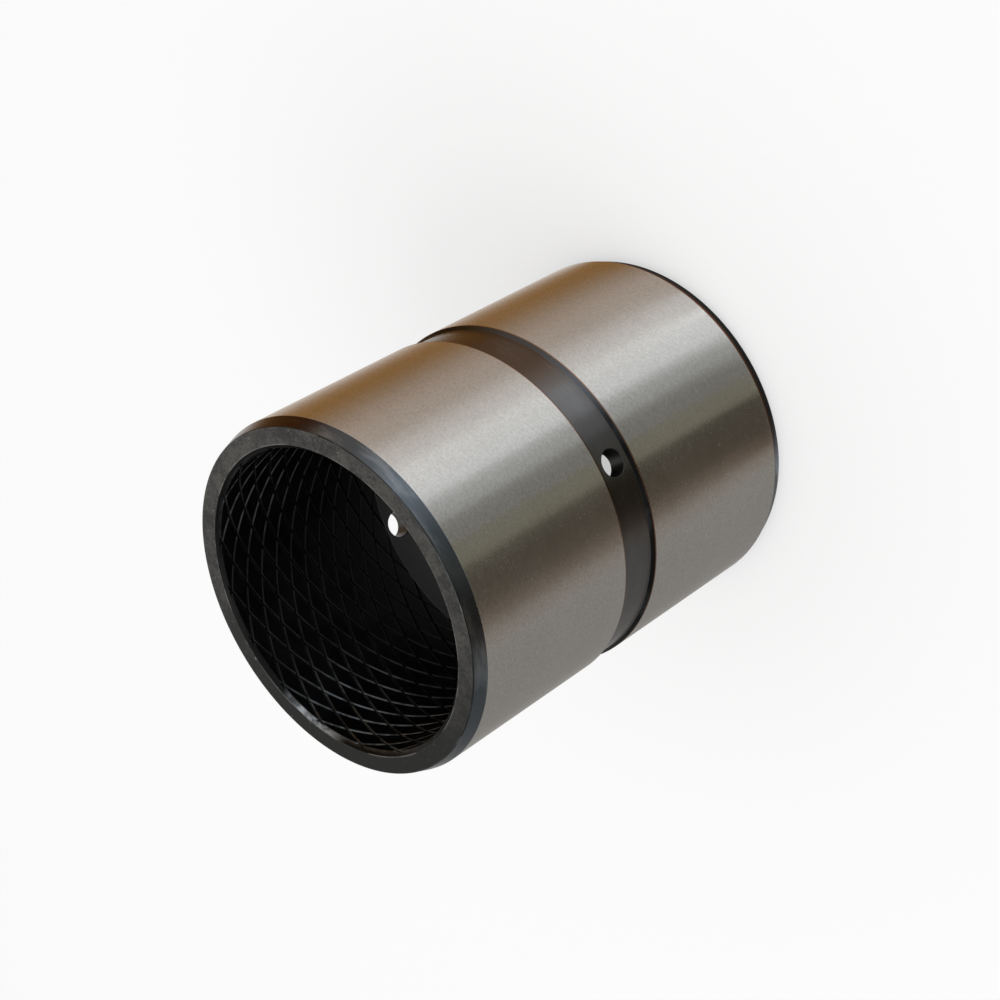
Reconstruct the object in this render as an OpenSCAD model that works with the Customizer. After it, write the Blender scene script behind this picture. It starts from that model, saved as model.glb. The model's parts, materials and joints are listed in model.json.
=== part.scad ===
// Hardened steel pin bushing of the kind pressed into the links of earth-moving
// machines. An oil groove runs round the outside at mid-length, two drilled holes
// lead from it into a recess in the bore, and helical grease grooves of both hands
// cross on either side of the recess. The bore runs on the pin.
// Millimetres. The axis is +Z and the bushing stands on one end at z = 0.

/* [Sleeve] */
// Bore diameter, a running fit on the pin
bore_d = 85; // [60:0.5:120]
// Thickness of the wall, from the bore to the ground outside
wall = 7.5; // [6:0.25:15]
// Length over the two end faces
length = 128; // [60:1:250]

/* [Ends] */
// Length of the outer lead-in along the axis
lead_in_l = 4; // [1:0.25:10]
// Angle of the outer lead-in from the axis
lead_in_angle = 19; // [5:1:30]
// Size of the 45 degree chamfer at each mouth of the bore
bore_chamfer = 1.2; // [0.4:0.1:2.5]

/* [Outer oil groove] */
// Width of the groove at the outside diameter
oil_groove_w = 12.5; // [9:0.5:30]
// Depth of the groove below the outside diameter
oil_groove_depth = 1; // [0.3:0.1:2.5]
// Angle of the groove's shoulders from the axis
oil_shoulder_angle = 42; // [25:1:75]

/* [Bore recess] */
// Width of the recess at the bore surface
recess_w = 12; // [9:0.5:30]
// Depth of the recess, with shoulders at 45 degrees
recess_depth = 1.2; // [0.8:0.1:2]

/* [Grease grooves] */
// Number of helical grooves of each hand
grease_starts = 18; // [12:1:20]
// Height that a groove climbs in one turn
grease_lead = 98; // [80:1:120]
// Bearing of the first groove of each hand at mid-length
grease_bearing = 3.5; // [0:0.5:20]
// Width of a groove at the bore surface
grease_w = 0.8; // [0.6:0.1:1.6]
// Depth of a groove below the bore surface
grease_depth = 0.4; // [0.2:0.05:0.6]

/* [Oil holes] */
// Diameter of each oil hole
oil_hole_d = 7.5; // [3:0.25:8.5]
// Bearing of the first oil hole around the axis
first_hole_angle = 270; // [0:0.1:360]
// Angle from the first oil hole to the second
second_hole_turn = 173.5; // [60:0.1:300]

/* [Hidden] */
$fn = 180;
// How far a cutting tool reaches past the metal that it cuts
overrun = 1;
bore_r = bore_d / 2;
outer_r = bore_r + wall;
mid_z = length / 2;
lead_in_depth = lead_in_l * tan(lead_in_angle);
oil_floor_r = outer_r - oil_groove_depth;
oil_shoulder_run = oil_groove_depth / tan(oil_shoulder_angle);
recess_r = bore_r + recess_depth;
hole_angles = [first_hole_angle, first_hole_angle + second_hole_turn];

// Crossing grooves part each half of the bore into rows of rhombic cells. The rows stand
// half a cell apart, and what a groove leaves standing of a cell is its land.
cell_turn = 360 / grease_starts;
cell_half_w = bore_r * sin(cell_turn / 2);
cell_half_h = grease_lead / grease_starts / 2;
cell = [[cell_half_w, 0], [0, cell_half_h], [-cell_half_w, 0], [0, -cell_half_h]];
cell_side_gap = cell_half_w * cell_half_h / norm([cell_half_w, cell_half_h]);
land_share = 1 - grease_w / 2 / cell_side_gap;
land_from_r = bore_r * cos(cell_turn / 2) - overrun;
recess_floor_half_l = recess_w / 2 - recess_depth;
first_row = ceil(recess_w / 2 / cell_half_h - land_share);
last_row = floor((mid_z - bore_chamfer) / cell_half_h + land_share);

// The turned section is given as radius and height, from the lower end to mid-length
half_outside = [
    [outer_r - lead_in_depth, 0],
    [outer_r, lead_in_l],
    [outer_r, mid_z - oil_groove_w / 2],
    [oil_floor_r, mid_z - oil_groove_w / 2 + oil_shoulder_run]
];
half_bore = [
    [bore_r + bore_chamfer, 0],
    [bore_r, bore_chamfer],
    [bore_r, mid_z - recess_w / 2],
    [recess_r, mid_z - recess_w / 2 + recess_depth]
];

// The same points in the upper half of the sleeve
function reflected(points) = [for (p = points) [p[0], length - p[1]]];

function reversed(points) = [for (i = [len(points) - 1 : -1 : 0]) points[i]];

// The sleeve as it leaves the lathe: up the outside and back down the bore
module turned_sleeve() {
    rotate_extrude()
        polygon(concat(
            half_outside,
            reversed(reflected(half_outside)),
            reflected(half_bore),
            reversed(half_bore)
        ));
}

// A radial drill at mid-length, through the wall from the recess to the oil groove
module oil_hole(angle) {
    rotate([0, 0, angle])
        translate([bore_r - overrun, 0, mid_z])
            rotate([0, 90, 0])
                cylinder(d = oil_hole_d, h = outer_r - bore_r + 2 * overrun);
}

// A thin ring that lines one half of the bore, from the recess to past the mouth
module bore_ring(side) {
    h = mid_z - recess_floor_half_l + overrun;
    translate([0, 0, side > 0 ? mid_z + recess_floor_half_l : -overrun])
        difference() {
            cylinder(r = bore_r + grease_depth, h = h);
            translate([0, 0, -overrun])
                cylinder(r = bore_r - overrun / 2, h = h + 2 * overrun);
        }
}

// One land, as a prism through the bore wall
module land() {
    rotate([90, 0, 90])
        translate([0, 0, land_from_r])
            linear_extrude(height = bore_r + overrun - land_from_r)
                polygon(land_share * cell);
}

// The crossing grooves of one half of the bore: what the lands leave of the ring
module grease_grooves(side) {
    difference() {
        bore_ring(side);
        for (row = [first_row : last_row], i = [0 : grease_starts - 1])
            rotate([0, 0, grease_bearing + (i + (row + 1) % 2 / 2) * cell_turn])
                translate([0, 0, mid_z + side * row * cell_half_h])
                    land();
    }
}

module bushing() {
    color([0.66, 0.64, 0.61])
        difference() {
            turned_sleeve();
            grease_grooves(1);
            grease_grooves(-1);
            for (angle = hole_angles)
                oil_hole(angle);
        }
}

bushing();
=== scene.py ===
"""Looks of a hardened steel pin bushing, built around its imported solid.

The bushing stands on one end on a pale floor. One closed mesh replaces the plain solid: the
turned outside with its rounded edges, the oil groove, the two oil holes, the recess in the
bore, and the lattice of crossing helical grease grooves. Everything is in metres, in the
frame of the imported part, with the bushing's axis on +Z.
"""

from __future__ import annotations

import json
import logging
import math
from dataclasses import dataclass, field, replace
from enum import Enum
from functools import partial
from typing import Any, Callable, Iterable, Sequence

import bmesh
import bpy
import numpy as np
from mathutils import Matrix, Vector

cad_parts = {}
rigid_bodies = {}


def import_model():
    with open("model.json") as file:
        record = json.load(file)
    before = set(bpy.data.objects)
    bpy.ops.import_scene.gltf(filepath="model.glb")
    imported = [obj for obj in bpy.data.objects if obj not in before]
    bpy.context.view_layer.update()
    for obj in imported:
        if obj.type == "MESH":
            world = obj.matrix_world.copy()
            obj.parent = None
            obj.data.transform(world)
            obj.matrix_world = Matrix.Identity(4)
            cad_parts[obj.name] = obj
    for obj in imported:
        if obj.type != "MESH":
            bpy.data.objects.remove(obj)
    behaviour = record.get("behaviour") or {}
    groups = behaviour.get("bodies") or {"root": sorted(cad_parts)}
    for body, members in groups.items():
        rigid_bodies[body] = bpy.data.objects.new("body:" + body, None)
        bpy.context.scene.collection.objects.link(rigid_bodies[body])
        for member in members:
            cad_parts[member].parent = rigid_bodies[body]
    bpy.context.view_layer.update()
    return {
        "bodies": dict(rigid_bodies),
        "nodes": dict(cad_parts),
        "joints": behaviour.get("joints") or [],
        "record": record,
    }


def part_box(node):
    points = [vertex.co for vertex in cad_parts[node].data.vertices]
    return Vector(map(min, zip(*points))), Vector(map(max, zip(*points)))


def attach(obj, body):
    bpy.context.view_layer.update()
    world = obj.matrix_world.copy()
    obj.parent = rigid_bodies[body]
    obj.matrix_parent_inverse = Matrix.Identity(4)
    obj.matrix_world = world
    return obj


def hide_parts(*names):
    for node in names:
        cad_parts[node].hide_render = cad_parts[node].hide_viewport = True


log = logging.getLogger("bushing")

MM = 0.001
NODE = "bushing"
PIECE = "bushing_sleeve"
SAME_PLACE = 1e-8
"""Metres within which two places count as one."""
ON_LINE = 1e-6
"""Millimetres within which a vertex of an unrolled grid lies on a line that splits it."""

Point = tuple[float, float, float]
Tone = tuple[float, float, float]
Span = tuple[float, float]
"""Two values between which a share of a finish eases from 0 to 1."""


class Region(Enum):
    """Which finish a face of the bushing takes, as its place in the material list."""

    GROUND = 0
    OXIDE = 1
    END_FACE = 2
    BORE = 3


@dataclass(frozen=True)
class Sizes:
    """Sizes of the bushing, in metres and radians, and the bearings of its holes in degrees.

    The outside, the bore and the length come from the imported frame. The rest are named here.
    """

    outer_r: float
    bore_r: float
    length: float
    lead_in_l: float = 4.0 * MM
    lead_in_angle: float = math.radians(19.0)
    bore_chamfer: float = 1.2 * MM
    oil_groove_w: float = 12.5 * MM
    oil_groove_depth: float = 1.0 * MM
    oil_shoulder_angle: float = math.radians(42.0)
    recess_w: float = 12.0 * MM
    recess_depth: float = 1.2 * MM
    oil_hole_r: float = 3.75 * MM
    oil_hole_angles: tuple[float, ...] = (270.0, 83.5)

    @classmethod
    def from_frame(cls, frame: dict[str, Any]) -> Sizes:
        """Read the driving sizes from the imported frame.

        Args:
            frame: what the frame loader returned.

        Returns:
            The sizes, in metres.
        """
        low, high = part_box(NODE)
        bore = next(m for m in frame["record"]["mounts"] if m["name"] == "bore")
        return cls(
            outer_r=(high[0] - low[0]) / 2,
            bore_r=bore["dims"]["r_mm"] * MM,
            length=high[2] - low[2],
        )

    @property
    def middle(self) -> float:
        """Height of the plane at mid-length."""
        return self.length / 2

    @property
    def face_r(self) -> float:
        """Outer radius of the flat end face."""
        return self.outer_r - self.lead_in_l * math.tan(self.lead_in_angle)

    @property
    def mouth_r(self) -> float:
        """Inner radius of the flat end face, at the bore's chamfer."""
        return self.bore_r + self.bore_chamfer

    @property
    def oil_floor_r(self) -> float:
        """Radius of the oil groove's floor."""
        return self.outer_r - self.oil_groove_depth

    @property
    def recess_r(self) -> float:
        """Radius of the bore recess's floor."""
        return self.bore_r + self.recess_depth


@dataclass(frozen=True)
class Corner:
    """A corner of a turned profile, with the rounding of its edge and the finish after it."""

    r: float
    z: float
    rounding: float
    after: Region


@dataclass(frozen=True)
class Station:
    """A point of a rounded profile, with its surface normal and the finish after it."""

    r: float
    z: float
    normal: tuple[float, float]
    after: Region


@dataclass(frozen=True)
class TurnedProfile:
    """A chain of corners whose edges are rounded by arcs.

    The corners are listed with the metal on the left of the way they run.
    """

    corners: Sequence[Corner]
    arc_steps: int = 3

    @staticmethod
    def _unit(a: Corner, b: Corner) -> np.ndarray:
        """Direction from one corner to the next, in radius and height."""
        step = np.array([b.r - a.r, b.z - a.z])
        return step / np.linalg.norm(step)

    def stations(self) -> list[Station]:
        """Round the corners and give each point its normal.

        Returns:
            The profile's points from its first corner to its last.
        """
        out: list[Station] = []
        for i, corner in enumerate(self.corners):
            before = self._unit(self.corners[i - 1], corner) if i else None
            after = self._unit(corner, self.corners[i + 1]) if i + 1 < len(self.corners) else None
            if before is None or after is None:
                way = after if before is None else before
                out.append(Station(corner.r, corner.z, (way[1], -way[0]), corner.after))
                continue
            out += self._arc(corner, before, after, self.corners[i - 1].after)
        return out

    def _arc(
        self, corner: Corner, before: np.ndarray, after: np.ndarray, earlier: Region
    ) -> list[Station]:
        """Points along the arc that rounds one corner.

        Args:
            corner: the corner to round.
            before: direction in which the profile arrives.
            after: direction in which it leaves.
            earlier: finish of the stretch before the corner.

        Returns:
            The arc's points, both tangent points included.
        """
        turn = math.atan2(before[0] * after[1] - before[1] * after[0], float(before @ after))
        reach = corner.rounding * math.tan(abs(turn) / 2)
        start = np.array([corner.r, corner.z]) - reach * before
        inward = math.copysign(1.0, turn) * np.array([-before[1], before[0]])
        centre = start + corner.rounding * inward
        on_arc = corner.after if corner.after is Region.GROUND else earlier
        out = []
        for step in range(self.arc_steps + 1):
            angle = turn * step / self.arc_steps
            c, s = math.cos(angle), math.sin(angle)
            turned = np.array([[c, -s], [s, c]])
            place = centre - corner.rounding * (turned @ inward)
            way = turned @ before
            finish = on_arc if step < self.arc_steps else corner.after
            out.append(Station(place[0], place[1], (way[1], -way[0]), finish))
        return out


@dataclass
class Skin:
    """Vertices with their normals, and faces with their finish, of one closed surface."""

    points: list[Point] = field(default_factory=list)
    normals: list[Point] = field(default_factory=list)
    faces: list[tuple[int, ...]] = field(default_factory=list)
    regions: list[Region] = field(default_factory=list)

    def vertex(self, point: Point, normal: Point) -> int:
        """Add a vertex.

        Args:
            point: its place in space.
            normal: the surface's normal there.

        Returns:
            Its number in the skin.
        """
        self.points.append(point)
        self.normals.append(normal)
        return len(self.points) - 1

    def bearing(self, i: int) -> float:
        """Angle of a vertex round the bushing's axis, in degrees from 0 to 360."""
        x, y, _ = self.points[i]
        return math.degrees(math.atan2(y, x)) % 360

    def face(self, corners: Iterable[int], region: Region) -> None:
        """Add a face, turned so that it faces the way its corners' normals do.

        Args:
            corners: its vertices in order. One that is there twice counts once.
            region: its finish.
        """
        ring = tuple(dict.fromkeys(corners))
        if len(ring) < 3:
            return
        pts = np.array([self.points[i] for i in ring])
        area = np.zeros(3)
        for i in range(1, len(ring) - 1):
            area += np.cross(pts[i] - pts[0], pts[i + 1] - pts[0])
        facing = np.sum([self.normals[i] for i in ring], axis=0)
        self.faces.append(ring if float(area @ facing) >= 0 else ring[::-1])
        self.regions.append(region)

    def strip(self, a: Sequence[int], b: Sequence[int], region: Region) -> None:
        """Join two rings of as many vertices by a strip of faces.

        Args:
            a: vertices of the first ring.
            b: vertices of the second ring.
            region: finish of the new faces.
        """
        for i in range(len(a)):
            j = (i + 1) % len(a)
            self.face((a[i], a[j], b[j], b[i]), region)

    def zip_loops(
        self, a: Sequence[int], b: Sequence[int], key: Callable[[int], float], region: Region
    ) -> None:
        """Join two closed loops with triangles, both sorted by the same rising angle.

        Args:
            a: vertices of the first loop.
            b: vertices of the second loop.
            key: angle of a vertex in degrees, from 0 to 360.
            region: finish of the new faces.
        """
        first = sorted(a, key=key)
        second = sorted(b, key=key)
        i = j = 0
        while i < len(first) or j < len(second):
            next_a = key(first[i + 1]) if i + 1 < len(first) else key(first[0]) + 360
            next_b = key(second[j + 1]) if j + 1 < len(second) else key(second[0]) + 360
            here_a, here_b = first[i % len(first)], second[j % len(second)]
            if j == len(second) or (i < len(first) and next_a <= next_b):
                self.face((here_a, first[(i + 1) % len(first)], here_b), region)
                i += 1
            else:
                self.face((here_a, second[(j + 1) % len(second)], here_b), region)
                j += 1


@dataclass
class SeamWeld:
    """Adds vertices to a skin, but gives back the one that is there where two meet."""

    skin: Skin
    made: dict[tuple[int, int], int] = field(default_factory=dict)
    steps_a_degree: int = 1000
    steps_a_metre: int = 1_000_000

    def vertex(self, degrees: float, z: float, point: Point, normal: Point) -> int:
        """Place of the vertex at a bearing and height, made if there is none.

        Args:
            degrees: bearing round the axis.
            z: height in metres.
            point: the vertex's place in space.
            normal: its surface normal.

        Returns:
            The vertex's place in the skin.
        """
        whole = 360 * self.steps_a_degree
        across, up = round(degrees * self.steps_a_degree), round(z * self.steps_a_metre)
        near = [((across + i) % whole, up + j) for i in (0, 1, -1) for j in (0, 1, -1)]
        for key in near:
            if key in self.made:
                return self.made[key]
        self.made[near[0]] = self.skin.vertex(point, normal)
        return self.made[near[0]]


@dataclass(frozen=True)
class GreaseLattice:
    """Two families of helical grease grooves that cross in the bore.

    A groove of one family climbs with the bearing and one of the other family falls. Its
    bearing at mid-length is the same in both families, so each half of the bore mirrors the
    other. The mesh follows both families, with lines at the given millimetres either side of
    each groove's centre.
    """

    sizes: Sizes
    starts: int = 18
    lead: float = 98.0 * MM
    first_bearing: float = 3.5
    width: float = 0.8 * MM
    depth: float = 0.4 * MM
    margin: float = 0.05 * MM
    edge_rounding: float = 0.3 * MM
    slope_step: float = 0.02 * MM
    lines_mm: tuple[float, ...] = (0.0, 0.22, 0.4, 0.52, 1.9)

    @property
    def pitch(self) -> float:
        """Bearing between two grooves of one family, in degrees."""
        return 360 / self.starts

    @property
    def turn_rate(self) -> float:
        """Degrees that a groove turns for each metre along the axis."""
        return 360 / self.lead

    @property
    def across(self) -> float:
        """Metres square to a groove for each degree of bearing."""
        climb = math.atan(self.lead / (2 * math.pi * self.sizes.bore_r))
        return math.radians(1) * self.sizes.bore_r * math.sin(climb)

    @property
    def edge_reach(self) -> float:
        """How far the rounding reaches either side of an edge between 45 degree slopes."""
        return self.edge_rounding * math.tan(math.radians(45) / 2)

    def offsets(self) -> list[float]:
        """Grid lines over one pitch, in degrees of bearing from a groove's centre."""
        near = [x * MM / self.across for x in self.lines_mm]
        return near + [self.pitch - x for x in reversed(near[1:])]

    def _cut(self, degrees: np.ndarray) -> np.ndarray:
        """Depth of the grooves of one family.

        Args:
            degrees: bearings of the places, taken back to mid-length along the family's lines.

        Returns:
            The depth at each place, 0 between the grooves.
        """
        off = (degrees - self.first_bearing + self.pitch / 2) % self.pitch - self.pitch / 2
        share = np.abs(off) * self.across / (self.width / 2)
        return self.depth * np.clip(1 - share**2, 0, None)

    def wall(self, z: np.ndarray) -> np.ndarray:
        """Radius of the plain bore with its chamfers and its recess, edges rounded.

        Args:
            z: heights in metres.

        Returns:
            The radius at each height.
        """
        s = self.sizes
        from_end = s.length / 2 - np.abs(z - s.middle)
        mouth = s.bore_r + self._eased(s.bore_chamfer - from_end)
        recess = s.bore_r + self._eased(from_end - (s.middle - s.recess_w / 2))
        return np.maximum(mouth, np.minimum(recess, s.recess_r))

    def _eased(self, past: np.ndarray) -> np.ndarray:
        """Fall of a 45 degree slope past an edge, with the edge rounded.

        Args:
            past: how far past the edge each place lies, in metres.

        Returns:
            How far the slope has fallen at each place.
        """
        reach = self.edge_reach
        blend = (past + reach) ** 2 / (4 * reach)
        return np.where(past > reach, past, np.where(past < -reach, 0, blend))

    def radius(self, degrees: np.ndarray, z: np.ndarray) -> np.ndarray:
        """Radius of the bore's surface, which is where the deepest cut leaves it.

        Args:
            degrees: bearings of the places.
            z: their heights in metres.

        Returns:
            The radius at each place.
        """
        turn = self.turn_rate * (z - self.sizes.middle)
        grooves = np.maximum(self._cut(degrees - turn), self._cut(degrees + turn))
        return np.maximum(self.wall(z), self.sizes.bore_r + grooves)

    def bands(self) -> list[tuple[float, float]]:
        """Heights between which the grooves run.

        Returns:
            The lowest and the highest height in each half of the bore.
        """
        s = self.sizes
        mouth = s.bore_chamfer - self.depth - self.margin
        recess = s.middle - s.recess_w / 2 + self.depth + self.margin
        return [(mouth, recess), (s.length - recess, s.length - mouth)]

    def edge_heights(self, low: float, high: float) -> list[float]:
        """Heights at which a band's faces are split, so that its edges are round and true.

        Args:
            low: lowest height of the band.
            high: highest height of the band.

        Returns:
            The heights that lie inside the band.
        """
        s = self.sizes
        reach = self.edge_reach
        from_end = []
        for edge in (s.bore_chamfer, s.middle - s.recess_w / 2):
            from_end += [edge - reach, edge - reach / 3, edge + reach / 3, edge + reach]
        heights = from_end + [s.length - h for h in from_end]
        return [h for h in heights if low < h < high]

    def add_to(self, skin: Skin, low: float, high: float) -> tuple[list[int], list[int]]:
        """Add one band of the lattice to a skin.

        Args:
            skin: the surface that takes it.
            low: lowest height of the band.
            high: highest height of the band.

        Returns:
            The vertices of its lower and of its upper loop.
        """
        flat = self._skew_grid(low, high)
        for height in self.edge_heights(low, high):
            self._split(flat, height)
        self._split(flat, low, drop_below=True)
        self._split(flat, high, drop_above=True)
        return self._wrap(flat, skin, low, high)

    def _skew_grid(self, low: float, high: float) -> bmesh.types.BMesh:
        """Make an unrolled grid whose lines follow both families.

        Args:
            low: lowest height that it has to cover.
            high: highest height that it has to cover.

        Returns:
            The grid, with the bearing in degrees as X and the height in millimetres as Y.
        """
        s = self.sizes
        offsets = self.offsets()
        count = len(offsets)
        total = count * self.starts

        def line(i: int) -> float:
            """Bearing at mid-length of one line of either family."""
            return self.first_bearing + self.pitch * (i // count) + offsets[i % count]

        flat = bmesh.new()
        made: dict[tuple[int, int], bmesh.types.BMVert] = {}

        def vertex(i: int, j: int) -> bmesh.types.BMVert:
            """Vertex where a climbing and a falling line cross, made if there is none.

            Args:
                i: number of the climbing line.
                j: number of the falling line.

            Returns:
                The vertex.
            """
            if (i, j) not in made:
                climbing, falling = line(i), line(j)
                height = s.middle + (falling - climbing) / (2 * self.turn_rate)
                made[i, j] = flat.verts.new(((climbing + falling) / 2, height / MM, 0))
            return made[i, j]

        span = [self.turn_rate * 2 * (z - s.middle) / self.pitch * count for z in (low, high)]
        for j in range(total):
            for i in range(math.floor(j - span[1]) - count, math.ceil(j - span[0]) + count):
                heights = [
                    s.middle + (line(b) - line(a)) / (2 * self.turn_rate)
                    for a, b in ((i, j), (i + 1, j), (i + 1, j + 1), (i, j + 1))
                ]
                if max(heights) > low and min(heights) < high:
                    flat.faces.new(
                        (vertex(i, j), vertex(i + 1, j), vertex(i + 1, j + 1), vertex(i, j + 1))
                    )
        return flat

    @staticmethod
    def _split(
        flat: bmesh.types.BMesh, height: float, drop_below: bool = False, drop_above: bool = False
    ) -> None:
        """Split an unrolled grid along a height.

        Args:
            flat: the grid.
            height: the height in metres.
            drop_below: whether the side below it goes.
            drop_above: whether the side above it goes.
        """
        bmesh.ops.bisect_plane(
            flat,
            geom=flat.verts[:] + flat.edges[:] + flat.faces[:],
            dist=ON_LINE,
            plane_co=(0, height / MM, 0),
            plane_no=(0, 1, 0),
            clear_inner=drop_below,
            clear_outer=drop_above,
        )

    def _wrap(
        self, flat: bmesh.types.BMesh, skin: Skin, low: float, high: float
    ) -> tuple[list[int], list[int]]:
        """Roll an unrolled grid up into the bore and weld its seam.

        Args:
            flat: the unrolled grid.
            skin: the surface that takes it.
            low: lowest height of the band.
            high: highest height of the band.

        Returns:
            The vertices of its lower and of its upper loop.
        """
        flat.verts.ensure_lookup_table()
        degrees = np.array([v.co.x for v in flat.verts])
        z = np.array([v.co.y for v in flat.verts]) * MM
        r = self.radius(degrees, z)
        normals = self._normals(degrees, z)
        welded = SeamWeld(skin)
        angle = np.radians(degrees)
        place = [
            welded.vertex(
                degrees[k],
                z[k],
                (r[k] * math.cos(angle[k]), r[k] * math.sin(angle[k]), z[k]),
                tuple(normals[k]),
            )
            for k in range(len(degrees))
        ]
        for f in flat.faces:
            skin.face((place[v.index] for v in f.verts), Region.BORE)
        flat.free()
        used = set(place)
        lower = [i for i in used if abs(skin.points[i][2] - low) < SAME_PLACE]
        upper = [i for i in used if abs(skin.points[i][2] - high) < SAME_PLACE]
        return lower, upper

    def _normals(self, degrees: np.ndarray, z: np.ndarray) -> np.ndarray:
        """Normals of the bore's surface, towards the axis, from its slopes either way.

        Args:
            degrees: bearings of the places.
            z: their heights in metres.

        Returns:
            One unit vector for each place.
        """
        step = self.slope_step
        turn = math.degrees(step / self.sizes.bore_r)
        around = (self.radius(degrees + turn, z) - self.radius(degrees - turn, z)) / (2 * step)
        along = (self.radius(degrees, z + step) - self.radius(degrees, z - step)) / (2 * step)
        angle = np.radians(degrees)
        c, s = np.cos(angle), np.sin(angle)
        out = np.stack([-c - around * s, -s + around * c, along], axis=1)
        return out / np.linalg.norm(out, axis=1, keepdims=True)


@dataclass(frozen=True)
class OilHole:
    """A radial hole at mid-length, with the edge broken where it leaves either wall."""

    sizes: Sizes
    degrees: float
    edge_break: float = 0.25 * MM
    steps: int = 48
    break_steps: int = 3
    margin: float = 1.5 * MM

    def columns(self, wall_r: float, columns: int) -> tuple[int, int]:
        """Columns of a wall that bound the patch round the hole.

        Args:
            wall_r: radius of the wall.
            columns: how many columns go round it.

        Returns:
            The first and the last column.
        """
        half = math.degrees((self.sizes.oil_hole_r + self.edge_break + self.margin) / wall_r)
        each = 360 / columns
        return math.floor((self.degrees - half) / each), math.ceil((self.degrees + half) / each)

    def _axes(self) -> tuple[np.ndarray, np.ndarray, np.ndarray]:
        """Directions of the hole, as unit vectors.

        Returns:
            The ones along the hole, across it round the sleeve, and up.
        """
        a = math.radians(self.degrees)
        out = np.array([math.cos(a), math.sin(a), 0.0])
        return out, np.array([-out[1], out[0], 0.0]), np.array([0.0, 0.0, 1.0])

    def rings(self, skin: Skin, wall_r: float, facing: float) -> list[list[int]]:
        """Rings of the broken edge, from the wall's surface into the hole.

        Args:
            skin: the surface that takes them.
            wall_r: radius of the wall that the hole opens in.
            facing: 1 where the wall faces outwards and -1 where it faces the axis.

        Returns:
            The rings' vertices, the widest ring first.
        """
        along, across, up = self._axes()
        made = []
        for k in range(self.break_steps + 1):
            lean = math.pi / 2 * k / self.break_steps
            radius = self.sizes.oil_hole_r + self.edge_break * (1 - math.sin(lean))
            sunk = self.edge_break * (1 - math.cos(lean))
            ring = []
            for i in range(self.steps):
                turn = 2 * math.pi * i / self.steps
                a, b = radius * math.cos(turn), radius * math.sin(turn)
                outward = math.sqrt(wall_r**2 - a**2)
                place = along * (outward - facing * sunk) + across * a
                place = place + up * (self.sizes.middle + b)
                wall = facing * (along * outward + across * a) / wall_r
                inside = -(across * math.cos(turn) + up * math.sin(turn))
                normal = math.cos(lean) * wall + math.sin(lean) * inside
                ring.append(skin.vertex(tuple(place), tuple(normal)))
            made.append(ring)
        return made

    def turn(self, skin: Skin, i: int) -> float:
        """Angle of a vertex round the hole's own axis.

        Args:
            skin: the surface that the vertex is in.
            i: the vertex's number.

        Returns:
            The angle in degrees, from 0 to 360.
        """
        _, across, up = self._axes()
        point = np.array(skin.points[i])
        high = float(point @ up) - self.sizes.middle
        return math.degrees(math.atan2(high, float(point @ across))) % 360


@dataclass(frozen=True)
class Wall:
    """A wall that the oil holes open in: its floor's radius, and 1 outwards or -1 inwards."""

    floor_r: float
    facing: float


@dataclass
class Turned:
    """Rings of a turned profile that other faces are joined to."""

    first: list[int]
    last: list[int]
    holes: list[list[int]] = field(default_factory=list)


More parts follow.
